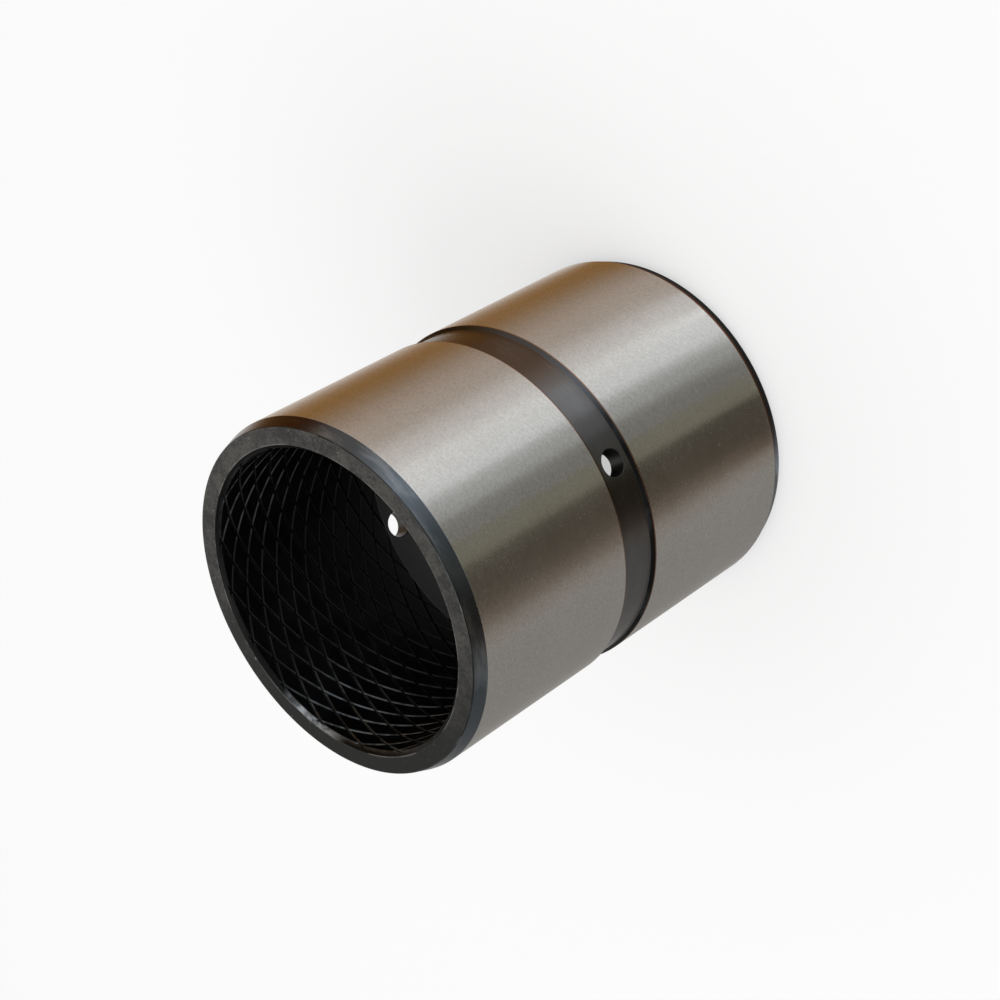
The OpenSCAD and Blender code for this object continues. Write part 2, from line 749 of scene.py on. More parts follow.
@dataclass(frozen=True)
class Sleeve:
    """The whole bushing as one closed mesh."""

    sizes: Sizes
    columns: int = 256
    seam: float = 0.15 * MM
    mouth_rounding: float = 0.2 * MM
    face_rounding: float = 0.3 * MM
    lead_in_rounding: float = 0.7 * MM
    groove_rounding: float = 0.25 * MM
    corner_rounding: float = 0.4 * MM

    def outside(self, reach: float) -> TurnedProfile:
        """Profile from the lower mouth of the bore, round the outside, to the upper one.

        Args:
            reach: how far from an end the profile starts on the mouth's chamfer.

        Returns:
            The profile.
        """
        s = self.sizes
        groove_foot = s.middle - s.oil_groove_w / 2
        floor_foot = groove_foot + s.oil_groove_depth / math.tan(s.oil_shoulder_angle)
        lower = [
            Corner(s.mouth_r - reach, reach, 0.0, Region.BORE),
            Corner(s.mouth_r, 0.0, self.mouth_rounding, Region.END_FACE),
            Corner(s.face_r, 0.0, self.face_rounding, Region.OXIDE),
            Corner(s.outer_r, s.lead_in_l, self.lead_in_rounding, Region.GROUND),
            Corner(s.outer_r, groove_foot, self.groove_rounding, Region.OXIDE),
            Corner(s.oil_floor_r, floor_foot, self.corner_rounding, Region.OXIDE),
        ]
        before = [lower[0].after] + [corner.after for corner in lower[:-1]]
        upper = [replace(c, z=s.length - c.z, after=a) for c, a in zip(lower, before)]
        return TurnedProfile(lower + upper[::-1])

    def recess(self, high: float, low: float) -> TurnedProfile:
        """Profile of the bore's recess, from its upper shoulder down to its lower one.

        Args:
            high: height at which it starts on the upper shoulder.
            low: height at which it ends on the lower one.

        Returns:
            The profile.
        """
        s = self.sizes
        half = s.recess_w / 2 - s.recess_depth
        shoulder = s.recess_w / 2 + s.bore_r
        places = [
            (shoulder - (high - s.middle), high, 0.0),
            (s.recess_r, s.middle + half, self.corner_rounding),
            (s.recess_r, s.middle - half, self.corner_rounding),
            (shoulder - (s.middle - low), low, 0.0),
        ]
        return TurnedProfile([Corner(r, z, e, Region.BORE) for r, z, e in places])

    def build(self) -> Skin:
        """Make the bushing's whole surface.

        Returns:
            The closed surface, with normals and finishes.
        """
        skin = Skin()
        lattice = GreaseLattice(self.sizes)
        lower_band, upper_band = lattice.bands()
        low_mouth, low_recess = lattice.add_to(skin, *lower_band)
        high_recess, high_mouth = lattice.add_to(skin, *upper_band)
        profile = self.outside(lower_band[0] - self.seam)
        outside = self._revolve(skin, profile, Wall(self.sizes.oil_floor_r, 1.0))
        profile = self.recess(upper_band[0] - self.seam, lower_band[1] + self.seam)
        inside = self._revolve(skin, profile, Wall(self.sizes.recess_r, -1.0))
        for ring, other in (
            (low_mouth, outside.first),
            (high_mouth, outside.last),
            (high_recess, inside.first),
            (low_recess, inside.last),
        ):
            skin.zip_loops(ring, other, skin.bearing, Region.BORE)
        for outer, inner in zip(outside.holes, inside.holes):
            skin.strip(outer, inner, Region.BORE)
        return skin

    def _rings(self, skin: Skin, stations: Sequence[Station]) -> list[list[int]]:
        """Turn the points of a profile round the axis.

        Args:
            skin: the surface that takes their vertices.
            stations: the profile's points.

        Returns:
            One ring of vertices for each point.
        """
        rings = []
        for station in stations:
            across, up = station.normal
            ring = []
            for i in range(self.columns):
                a = 2 * math.pi * i / self.columns
                c, s = math.cos(a), math.sin(a)
                point = (station.r * c, station.r * s, station.z)
                ring.append(skin.vertex(point, (c * across, s * across, up)))
            rings.append(ring)
        return rings

    def _revolve(self, skin: Skin, profile: TurnedProfile, wall: Wall) -> Turned:
        """Turn a profile round the axis, with its floor left open round each oil hole.

        Args:
            skin: the surface that takes it.
            profile: the profile to turn.
            wall: the wall that it makes.

        Returns:
            The first and last ring, and each hole's innermost ring.
        """
        stations = profile.stations()
        rings = self._rings(skin, stations)
        made = Turned(rings[0], rings[-1])
        pairs = zip(zip(stations, stations[1:]), zip(rings, rings[1:]))
        for (here, there), (lower, upper) in pairs:
            taken: set[int] = set()
            on_floor = all(abs(st.r - wall.floor_r) < SAME_PLACE for st in (here, there))
            if on_floor and abs(there.z - here.z) > self.sizes.oil_hole_r:
                for degrees in self.sizes.oil_hole_angles:
                    hole = OilHole(self.sizes, degrees)
                    columns, innermost = self._open(skin, hole, wall, lower, upper, here.after)
                    taken |= columns
                    made.holes.append(innermost)
            for i in range(self.columns):
                if i not in taken:
                    j = (i + 1) % self.columns
                    skin.face((lower[i], lower[j], upper[j], upper[i]), here.after)
        return made

    def _open(
        self, skin: Skin, hole: OilHole, wall: Wall, lower: Sequence[int], upper: Sequence[int],
        region: Region,
    ) -> tuple[set[int], list[int]]:
        """Join a hole's broken edge to the floor that it opens in.

        Args:
            skin: the surface that takes the faces.
            hole: the oil hole.
            wall: the wall that it opens in.
            lower: the floor's lower ring.
            upper: the floor's upper ring.
            region: finish of the floor.

        Returns:
            The columns that the faces take up, and the broken edge's innermost ring.
        """
        first, last = hole.columns(wall.floor_r, self.columns)
        columns = [i % self.columns for i in range(first, last + 1)]
        edge = [lower[i] for i in columns] + [upper[i] for i in columns]
        broken = hole.rings(skin, wall.floor_r, wall.facing)
        skin.zip_loops(edge, broken[0], partial(hole.turn, skin), region)
        for wide, narrow in zip(broken, broken[1:]):
            skin.strip(wide, narrow, Region.BORE)
        return set(columns[:-1]), broken[-1]


class Field:
    """A number that varies over a surface: one socket, with Python's operators on it."""

    def __init__(self, graph: Graph, socket: bpy.types.NodeSocket) -> None:
        """Wrap a socket that carries a value."""
        self.graph = graph
        self.socket = socket

    def _math(self, operation: str, *values: Field | float) -> Field:
        """Add a Math node that works on this value and others."""
        inputs = {i: v for i, v in enumerate((self, *values))}
        return self.graph.value("ShaderNodeMath", {"operation": operation}, inputs)

    def __add__(self, other: Field | float) -> Field:
        """Sum with a value or a number."""
        return self._math("ADD", other)

    __radd__ = __add__

    def __mul__(self, other: Field | float) -> Field:
        """Product with a value or a number."""
        return self._math("MULTIPLY", other)

    __rmul__ = __mul__

    def __sub__(self, other: Field | float) -> Field:
        """Difference from a value or a number."""
        return self._math("SUBTRACT", other)

    def __neg__(self) -> Field:
        """This value with its sign turned round."""
        return self * -1.0

    def __rsub__(self, other: float) -> Field:
        """A number less this value."""
        return self * -1.0 + other

    def __truediv__(self, other: Field | float) -> Field:
        """Quotient by a value or a number."""
        return self._math("DIVIDE", other)

    def __pow__(self, other: Field | float) -> Field:
        """Power of this value."""
        return self._math("POWER", other)

    def __abs__(self) -> Field:
        """Size of this value, without its sign."""
        return self._math("ABSOLUTE")

    def low(self, other: Field | float) -> Field:
        """The lower of this value and another."""
        return self._math("MINIMUM", other)

    def high(self, other: Field | float) -> Field:
        """The higher of this value and another."""
        return self._math("MAXIMUM", other)

    def lifted(self, least: float) -> Field:
        """This share of 0 to 1, drawn together so that it starts from the least."""
        return self * (1 - least) + least

    def ease(self, start: float, end: float) -> Field:
        """Ease from 0 to 1 as this value goes from start to end.

        Args:
            start: the value up to which it is 0.
            end: the value from which it is 1. It may be the lower of the two.

        Returns:
            The eased value.
        """
        settings = {"interpolation_type": "SMOOTHSTEP", "clamp": True}
        inputs = {"Value": self, "From Min": start, "From Max": end}
        return self.graph.value("ShaderNodeMapRange", settings, inputs)


class Graph:
    """The node graph of one material or world."""

    def __init__(self, owner: bpy.types.Material | bpy.types.World) -> None:
        """Empty the node graph of a material or world.

        Args:
            owner: the material or world.
        """
        owner.use_nodes = True
        self.owner = owner
        self.tree = owner.node_tree
        self.tree.nodes.clear()

    @classmethod
    def of_material(cls, name: str) -> Graph:
        """Make the graph of a new material."""
        return cls(bpy.data.materials.new(name))

    def node(
        self, kind: str, settings: dict[str, Any] | None = None,
        inputs: dict[str | int, Any] | None = None,
    ) -> bpy.types.Node:
        """Add a node of any type.

        Args:
            kind: the node's type.
            settings: its properties, set before its sockets.
            inputs: values or links of its sockets, by name or place.

        Returns:
            The new node.
        """
        made = self.tree.nodes.new(kind)
        for name, setting in (settings or {}).items():
            setattr(made, name, setting)
        for place, given in (inputs or {}).items():
            self._feed(made.inputs[place], given)
        return made

    def _feed(self, socket: bpy.types.NodeSocket, given: Any) -> None:
        """Give a socket a link or a value.

        Args:
            socket: the socket.
            given: a field, another node's socket, a number, or red, green and blue.
        """
        if isinstance(given, Field):
            given = given.socket
        if isinstance(given, bpy.types.NodeSocket):
            self.tree.links.new(given, socket)
        elif socket.type == "RGBA":
            socket.default_value = (*given, 1.0)
        else:
            socket.default_value = given

    def value(
        self, kind: str, settings: dict[str, Any] | None = None,
        inputs: dict[str | int, Any] | None = None,
    ) -> Field:
        """Add a node and wrap its first output."""
        return Field(self, self.node(kind, settings, inputs).outputs[0])

    def mixed(self, share: Field | float, a: Any, b: Any) -> bpy.types.NodeSocket:
        """Mix two colours.

        Args:
            share: how much of the second colour there is.
            a: first colour, as a socket or red, green and blue.
            b: second colour, the same.

        Returns:
            The mixed colour's socket.
        """
        return self.node("ShaderNodeMix", {"data_type": "RGBA"}, {0: share, 6: a, 7: b}).outputs[2]

    def metal(
        self, inputs: dict[str, Any], bump: Field | None = None, rise: float = 0.0
    ) -> bpy.types.Material:
        """End the graph in a surface shader.

        Args:
            inputs: values or links of the shader's sockets.
            bump: height field of the fine relief, or None.
            rise: height in metres that a bump of 1 stands for.

        Returns:
            The finished material.
        """
        if bump is not None:
            relief = {"Height": bump, "Strength": 1.0, "Distance": rise}
            inputs = {**inputs, "Normal": self.node("ShaderNodeBump", {}, relief).outputs[0]}
        return self.end(self.node("ShaderNodeBsdfPrincipled", {}, inputs))

    def end(self, shader: bpy.types.Node) -> bpy.types.Material | bpy.types.World:
        """End the graph in a shader.

        Args:
            shader: the shader's node.

        Returns:
            The material or world that the graph belongs to.
        """
        world = isinstance(self.owner, bpy.types.World)
        kind = "ShaderNodeOutputWorld" if world else "ShaderNodeOutputMaterial"
        self.node(kind, {}, {"Surface": shader.outputs[0]})
        return self.owner


@dataclass(frozen=True)
class Places:
    """Where a point of the surface lies, as values that a finish can use."""

    graph: Graph
    place: bpy.types.NodeSocket
    x: Field
    y: Field
    z: Field
    r: Field
    bearing: Field

    @classmethod
    def of(cls, graph: Graph) -> Places:
        """Add the nodes that give a surface point's place.

        Args:
            graph: the material's graph.

        Returns:
            Its coordinates, its radius and its bearing in degrees.
        """
        place = graph.node("ShaderNodeTexCoord").outputs["Object"]
        split = graph.node("ShaderNodeSeparateXYZ", {}, {0: place})
        x, y, z = (Field(graph, output) for output in split.outputs)
        r = (x * x + y * y) ** 0.5
        turn = graph.value("ShaderNodeMath", {"operation": "ARCTAN2"}, {0: y, 1: x})
        return cls(graph, place, x, y, z, r, turn * (180 / math.pi))

    def towards(self, degrees: float) -> Field:
        """Cosine of the angle between the point's bearing and another."""
        a = math.radians(degrees)
        return (self.x * math.cos(a) + self.y * math.sin(a)) / self.r


@dataclass(frozen=True)
class Side:
    """One side of the bushing: a bearing, and the cosines between which it fades in."""

    degrees: float
    fade: Span

    def share(self, at: Places) -> Field:
        """1 on this side of the bushing and 0 away from it."""
        return at.towards(self.degrees).ease(*self.fade)


@dataclass(frozen=True)
class Grain:
    """Noise over a surface, by its scale round the bushing and along it.

    Scales are in cycles a metre. Without a scale along the bushing, the noise is the same
    every way.
    """

    scale: float
    along: float | None = None
    detail: float = 2.0
    rough: float = 0.5

    def over(self, at: Places) -> Field:
        """Add the noise to a graph.

        Args:
            at: where a point of the surface lies.

        Returns:
            The noise, from 0 to 1.
        """
        place, scale = at.place, self.scale
        if self.along is not None:
            spread = {0: at.x * scale, 1: at.y * scale, 2: at.z * self.along}
            place = at.graph.node("ShaderNodeCombineXYZ", {}, spread).outputs[0]
            scale = 1.0
        inputs = {
            "Vector": place, "Scale": scale, "Detail": self.detail, "Roughness": self.rough,
        }
        return at.graph.value("ShaderNodeTexNoise", {}, inputs)


MARKS_ROUND = 0.25
"""Anisotropic rotation at which fine marks run round the bushing."""


@dataclass(frozen=True)
class GroundSteel:
    """Bright steel ground on its outside, with fine marks that run round it.

    The tone swings between two, by the marks, the grain, the bands and the clouds, each with
    its weight. Rust has crept out of the oil groove over its edges.
    """

    sizes: Sizes
    name: str = "ground_steel"
    tone: Tone = (0.68, 0.665, 0.64)
    dull_tone: Tone = (0.53, 0.515, 0.49)
    rust_tone: Tone = (0.30, 0.17, 0.11)
    rust_w: Span = (0.4 * MM, 0.1 * MM)
    marks: Grain = Grain(700.0, 2600.0)
    grain: Grain = Grain(1500.0)
    bands: Grain = Grain(30.0, 420.0)
    clouds: Grain = Grain(40.0, detail=3.0)
    weights: tuple[float, float, float, float] = (0.32, 0.46, 0.09, 0.13)
    contrast: float = 3.6
    roughness: float = 0.26
    roughness_swing: tuple[float, float] = (0.06, 0.04)
    anisotropic: float = 1.0
    relief: float = 1.2e-6

    def dress(self) -> bpy.types.Material:
        """Make the material.

        Returns:
            The material.
        """
        graph = Graph.of_material(self.name)
        at = Places.of(graph)
        marks, cloud = self.marks.over(at), self.clouds.over(at)
        layers = (marks, self.grain.over(at), self.bands.over(at), cloud)
        share = sum(layer * weight for layer, weight in zip(layers, self.weights))
        share = ((share - 0.5) * self.contrast + 0.5).low(1.0).high(0.0)
        tone = graph.mixed(share, self.dull_tone, self.tone)
        beside = abs(at.z - self.sizes.middle) - self.sizes.oil_groove_w / 2
        by_marks, by_cloud = self.roughness_swing
        rough = self.roughness + (marks - 0.5) * by_marks + (cloud - 0.5) * by_cloud
        shader = {
            "Base Color": graph.mixed(beside.ease(*self.rust_w), tone, self.rust_tone),
            "Metallic": 1.0,
            "Roughness": rough,
            "Anisotropic": self.anisotropic,
            "Anisotropic Rotation": MARKS_ROUND,
        }
        return graph.metal(shader, marks, self.relief)


@dataclass(frozen=True)
class DarkOxide:
    """Steel with the dark scale of its heat treatment, on the lead-ins and the groove.

    The scale is worn through in patches along the upper lead-in. It turns brown on one side:
    on the groove's floor, on the upper lead-in, and along the rim of the lower one.
    """

    sizes: Sizes
    name: str = "dark_oxide"
    groove_tone: Tone = (0.155, 0.152, 0.153)
    warm_tone: Tone = (0.12, 0.085, 0.062)
    # Painted shade on the groove's shoulders, and a painted highlight on them on one side.
    painted_shade_shoulder_tone: Tone = (0.018, 0.018, 0.019)
    painted_highlight_shoulder_tone: Tone = (0.105, 0.11, 0.12)
    lead_in_tone: Tone = (0.110, 0.128, 0.147)
    brown_tone: Tone = (0.19, 0.075, 0.03)
    black_tone: Tone = (0.02, 0.019, 0.018)
    rust_tone: Tone = (0.055, 0.024, 0.016)
    worn_tone: Tone = (0.24, 0.26, 0.28)
    edge_tone: Tone = (0.05, 0.052, 0.053)
    brown_side: Side = Side(300.0, (0.45, 0.75))
    # Side on which the groove's shoulders carry a painted highlight.
    painted_highlight_side: Side = Side(315.0, (0.8, 0.97))
    warm_side: Side = Side(324.0, (0.88, 0.98))
    rust_side: Side = Side(348.0, (0.9, 0.985))
    fine: Grain = Grain(120.0, 2200.0, 3.0)
    clouds: Grain = Grain(150.0, None, 4.0, 0.6)
    patches: Grain = Grain(60.0, 240.0, 4.0, 0.6)
    shoulder_w: Span = (0.02 * MM, 0.1 * MM)
    past_lead_in: Span = (1.5 * MM, 0.5 * MM)
    rim: Span = (0.55, 0.9)
    worn: Span = (0.5, 0.68)
    groove_wear: float = 0.15
    lead_in_wear: float = 0.55
    rust_cover: float = 0.8
    edge_w: Span = (0.4 * MM, 0.25 * MM)
    edge_breaks: Span = (0.5, 0.65)
    edge_broken: float = 0.6
    roughness: float = 0.27
    brown_roughness: float = 0.35
    roughness_swing: tuple[float, float] = (0.16, 0.08)
    anisotropic: float = 0.85
    relief: float = 1.5e-6

    def _groove(self, at: Places) -> bpy.types.NodeSocket:
        """Tone of the oil groove: a floor and two shoulders with painted shade, and a painted
        highlight on the shoulders on one side.

        Args:
            at: where a point of the surface lies.

        Returns:
            The colour's socket.
        """
        mixed = at.graph.mixed
        floor = mixed(self.warm_side.share(at), self.groove_tone, self.warm_tone)
        # Painted highlight on the shoulders on one side, painted shade on them elsewhere.
        bright = self.painted_highlight_side.share(at)
        side = mixed(bright, self.painted_shade_shoulder_tone, self.painted_highlight_shoulder_tone)
        shoulder = (at.r - self.sizes.oil_floor_r).ease(*self.shoulder_w)
        return mixed(shoulder, floor, side)

    def _lead_in(
        self, at: Places, from_end: Field, rust: Field, brown: Field
    ) -> bpy.types.NodeSocket:
        """Tone of the lead-ins, rusty on one side and black with a brown rim on another.

        Args:
            at: where a point of the surface lies.
            from_end: how far it lies from the nearer end.
            rust: how rusty it is.
            brown: how much of the black and brown it has.

        Returns:
            The colour's socket.
        """
        mixed = at.graph.mixed
        start, end = self.rim
        lead_in_l = self.sizes.lead_in_l
        rim = from_end.ease(start * lead_in_l, end * lead_in_l)
        rim_tone = mixed(rim, self.black_tone, self.brown_tone)
        return mixed(brown, mixed(rust, self.lead_in_tone, self.rust_tone), rim_tone)

    def dress(self) -> bpy.types.Material:
        """Make the material.

        Returns:
            The material.
        """
        graph = Graph.of_material(self.name)
        at = Places.of(graph)
        middle, lead_in_l = self.sizes.middle, self.sizes.lead_in_l
        fine, cloud = self.fine.over(at), self.clouds.over(at)
        from_end = middle - abs(at.z - middle)
        lead_in = from_end.ease(*(lead_in_l + past for past in self.past_lead_in))
        upper = at.z.ease(lead_in_l, middle)
        brown = (1 - upper) * self.brown_side.share(at)
        rust = self.rust_side.share(at) * upper
        tone = self._lead_in(at, from_end, rust, brown)
        tone = graph.mixed(lead_in, self._groove(at), tone)
        worn = self.patches.over(at).ease(*self.worn)
        worn = worn * (lead_in * self.lead_in_wear + self.groove_wear)
        worn = worn * upper * (1 - rust * self.rust_cover)
        tone = graph.mixed(worn, tone, self.worn_tone)
        broken = cloud.ease(*self.edge_breaks) * self.edge_broken
        edge = from_end.ease(*self.edge_w) * (1 - broken)
        by_cloud, by_fine = self.roughness_swing
        rough = self.roughness + (cloud - 0.5) * by_cloud + (fine - 0.5) * by_fine
        shader = {
            "Base Color": graph.mixed(edge, tone, self.edge_tone),
            "Metallic": 1.0,
            "Roughness": rough + brown * lead_in * self.brown_roughness,
            "Anisotropic": self.anisotropic,
            "Anisotropic Rotation": MARKS_ROUND,
        }
        return graph.metal(shader, fine, self.relief)


@dataclass(frozen=True)
class FaceOxide:
    """The flat end faces: turned, then darkened, and duller than the lead-ins.

    They carry a painted shade on one side, and are rubbed and nicked down to bare steel in small
    places.
    """

    sizes: Sizes
    name: str = "face_oxide"
    tone: Tone = (0.036, 0.036, 0.035)
    light_tone: Tone = (0.098, 0.096, 0.090)
    # Tone of the painted shade on one side of the end faces.
    painted_shade_tone: Tone = (0.014, 0.0145, 0.0145)
    bare_tone: Tone = (0.3, 0.3, 0.29)
    # Side of the end faces that carries the painted shade.
    painted_shade_side: Side = Side(155.0, (-0.2, 0.9))
    rings_scale: float = 2500.0
    clouds: Grain = Grain(160.0, detail=4.0)
    nicks: Grain = Grain(330.0, None, 3.0, 0.7)
    speckle: Grain = Grain(1300.0)
    weights: tuple[float, float, float] = (0.2, 0.45, 0.35)
    light: Span = (0.39, 0.62)
    painted_shade_share: float = 0.9
    rubbed_w: Span = (0.35 * MM, 0.05 * MM)
    rubbed: Span = (0.42, 0.62)
    rubbed_share: float = 0.45
    nicked: Span = (0.66, 0.72)
    nicked_share: float = 0.6
    metallic: float = 0.7
    roughness: float = 0.55
    roughness_swing: float = 0.2
    relief: float = 3e-6

    def dress(self) -> bpy.types.Material:
        """Make the material.

        Returns:
            The material.
        """
        graph = Graph.of_material(self.name)
        at = Places.of(graph)
        spread = graph.node("ShaderNodeCombineXYZ", {}, {0: at.r * self.rings_scale})
        rings = graph.value(
            "ShaderNodeTexNoise", {}, {"Vector": spread.outputs[0], "Scale": 1.0}
        )
        cloud = self.clouds.over(at)
        layers = (rings, cloud, self.speckle.over(at))
        share = sum(layer * weight for layer, weight in zip(layers, self.weights))
        tone = graph.mixed(share.ease(*self.light), self.tone, self.light_tone)
        # Painted shade on one side of the end face.
        tone = graph.mixed(self.painted_shade_side.share(at) * self.painted_shade_share, tone, self.painted_shade_tone)
        from_edge = (at.r - self.sizes.mouth_r).low(self.sizes.face_r - at.r)
        rubbed = from_edge.ease(*self.rubbed_w) * cloud.ease(*self.rubbed) * self.rubbed_share
        bare = rubbed.high(self.nicks.over(at).ease(*self.nicked) * self.nicked_share)
        shader = {
            "Base Color": graph.mixed(bare, tone, self.bare_tone),
            "Metallic": self.metallic,
            "Roughness": self.roughness + (cloud - 0.5) * self.roughness_swing,
        }
        return graph.metal(shader, rings, self.relief)


@dataclass(frozen=True)
class BoreOxide:
    """The bore: dark and oily, with its grease grooves burnished towards the mouths.

    The painted glints on the grooves are strongest away from the side of painted shade, by degrees
    past it and before it, and towards the mouths, by shares of half the length. One place on the
    upper mouth's chamfer is rubbed bare and carries a painted highlight, by degrees either way.
    """

    sizes: Sizes
    name: str = "bore_oxide"
    tone: Tone = (0.012, 0.012, 0.0125)
    light_tone: Tone = (0.025, 0.025, 0.026)
    deep_tone: Tone = (0.022, 0.022, 0.021)
    recess_tone: Tone = (0.07, 0.07, 0.069)
    # Tone of the painted shade in the grease grooves and on the mouth chamfers.
    painted_shade_tone: Tone = (0.004, 0.004, 0.004)
    # Tone of the painted glint on the grease grooves.
    painted_glint_tone: Tone = (0.120, 0.132, 0.142)
    # Bare steel, bright and bluish as a painted highlight where the upper mouth's chamfer is
    # rubbed bare.
    bare_tone: Tone = (0.40, 0.45, 0.50)
    clouds: Grain = Grain(120.0, detail=4.0)
    light: Span = (0.35, 0.75)
    breaks: Grain = Grain(260.0, None, 3.0, 0.6)
    unbroken: Span = (0.35, 0.6)
    deep_reach: float = 2.0
    recess_sunk: Span = (0.6 * MM, 1.1 * MM)
    groove_sunk: Span = (0.01 * MM, 0.05 * MM)
    groove_ends: Span = (0.45 * MM, 0.6 * MM)
    # Bearing of the side without painted glint, where the grooves keep their painted shade.
    painted_shade_bearing: float = 85.0
    painted_glint_past: Span = (20.0, 48.0)
    painted_glint_before: Span = (20.0, 60.0)
    painted_glint_heights: Span = (0.38, 0.84)
    share_before: float = 0.55
    least_by_side: float = 0.07
    least_by_height: float = 0.04
    least_in_breaks: float = 0.2
    chamfer_from: Span = (1.0, 0.8)
    # Share of painted shade on the mouth chamfers.
    chamfer_shade_share: float = 0.6
    # Bearing of the rubbed bare patch with its painted highlight.
    bare_glint_bearing: float = 131.0
    bare_glint_reach: Span = (5.0, 17.0)
    bare_in_breaks: float = 0.25
    metallic: float = 0.9
    roughness: float = 0.38
    roughness_swing: float = 0.15

    def _painted_glint(self, at: Places, out: Field) -> Field:
        """How strong the painted glint on the grease grooves is.

        Args:
            at: where a point of the surface lies.
            out: how far it lies from mid-length.

        Returns:
            The share of painted glint, from near 0 on the side of painted shade to 1.
        """
        past = at.bearing - self.painted_shade_bearing
        before = (-past).ease(*self.painted_glint_before) * self.share_before
        by_side = past.ease(*self.painted_glint_past).high(before).lifted(self.least_by_side)
        start, end = (share * self.sizes.middle for share in self.painted_glint_heights)
        return by_side * out.ease(start, end).lifted(self.least_by_height)

    def dress(self) -> bpy.types.Material:
        """Make the material.

        Returns:
            The material.
        """
        s = self.sizes
        graph = Graph.of_material(self.name)
        at = Places.of(graph)
        cloud = self.clouds.over(at)
        whole = self.breaks.over(at).ease(*self.unbroken)
        sunk = at.r - s.bore_r
        out = abs(at.z - s.middle)
        tone = graph.mixed(cloud.ease(*self.light), self.tone, self.light_tone)
        deep = 1 - out.ease(s.recess_w / 2, s.recess_w * self.deep_reach)
        tone = graph.mixed(deep, tone, self.deep_tone)
        floor = sunk.ease(*self.recess_sunk) * (1 - out.ease(s.recess_w / 2, s.recess_w))
        tone = graph.mixed(floor, tone, self.recess_tone)
        # Painted shade in the grease grooves.
        groove = sunk.ease(*self.groove_sunk) * (1 - sunk.ease(*self.groove_ends))
        tone = graph.mixed(groove, tone, self.painted_shade_tone)
        # Painted glint on the grease grooves, by side and towards the mouths.
        bright = groove * self._painted_glint(at, out) * whole.lifted(self.least_in_breaks)
        tone = graph.mixed(bright, tone, self.painted_glint_tone)
        # Painted shade on the mouth chamfers.
        chamfer = out.ease(*(s.middle - share * s.bore_chamfer for share in self.chamfer_from))
        tone = graph.mixed(chamfer * self.chamfer_shade_share, tone, self.painted_shade_tone)
        # Rubbed bare patch on the upper mouth's chamfer, with a painted highlight in its bright
        # bluish tone.
        bare = 1 - abs(at.bearing - self.bare_glint_bearing).ease(*self.bare_glint_reach)
        bare = bare * chamfer * at.z.ease(s.middle, s.length) * whole.lifted(self.bare_in_breaks)
        shader = {
            "Base Color": graph.mixed(bare, tone, self.bare_tone),
            "Metallic": self.metallic,
            "Roughness": self.roughness + (cloud - 0.5) * self.roughness_swing,
        }
        return graph.metal(shader)


@dataclass(frozen=True)
class Bushing:
    """The dressed bushing: its mesh and the finish of each region."""

    sizes: Sizes

    def finishes(self) -> list[bpy.types.Material]:
        """Make the materials, in the order of the regions."""
        kinds = (GroundSteel, DarkOxide, FaceOxide, BoreOxide)
        return [kind(self.sizes).dress() for kind in kinds]

    def make(self) -> bpy.types.Object:
        """Build the mesh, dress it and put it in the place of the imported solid.

        Returns:
            The bushing's object.
        """
        skin = Sleeve(self.sizes).build()
        mesh = bpy.data.meshes.new(PIECE)
        mesh.from_pydata(skin.points, [], skin.faces)
        mesh.validate(verbose=False)
        for material in self.finishes():
            mesh.materials.append(material)
        mesh.polygons.foreach_set("material_index", [r.value for r in skin.regions])
        mesh.polygons.foreach_set("use_smooth", [True] * len(mesh.polygons))
        mesh.normals_split_custom_set_from_vertices(skin.normals)
        mesh.update()
        piece = bpy.data.objects.new(PIECE, mesh)
        bpy.context.scene.collection.objects.link(piece)
        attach(piece, "root")
        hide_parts(NODE)
        return piece


@dataclass(frozen=True)
class Mirrored:
    """Tone of the studio that the ground outside mirrors at one bearing."""

    degrees: float
    tone: Tone


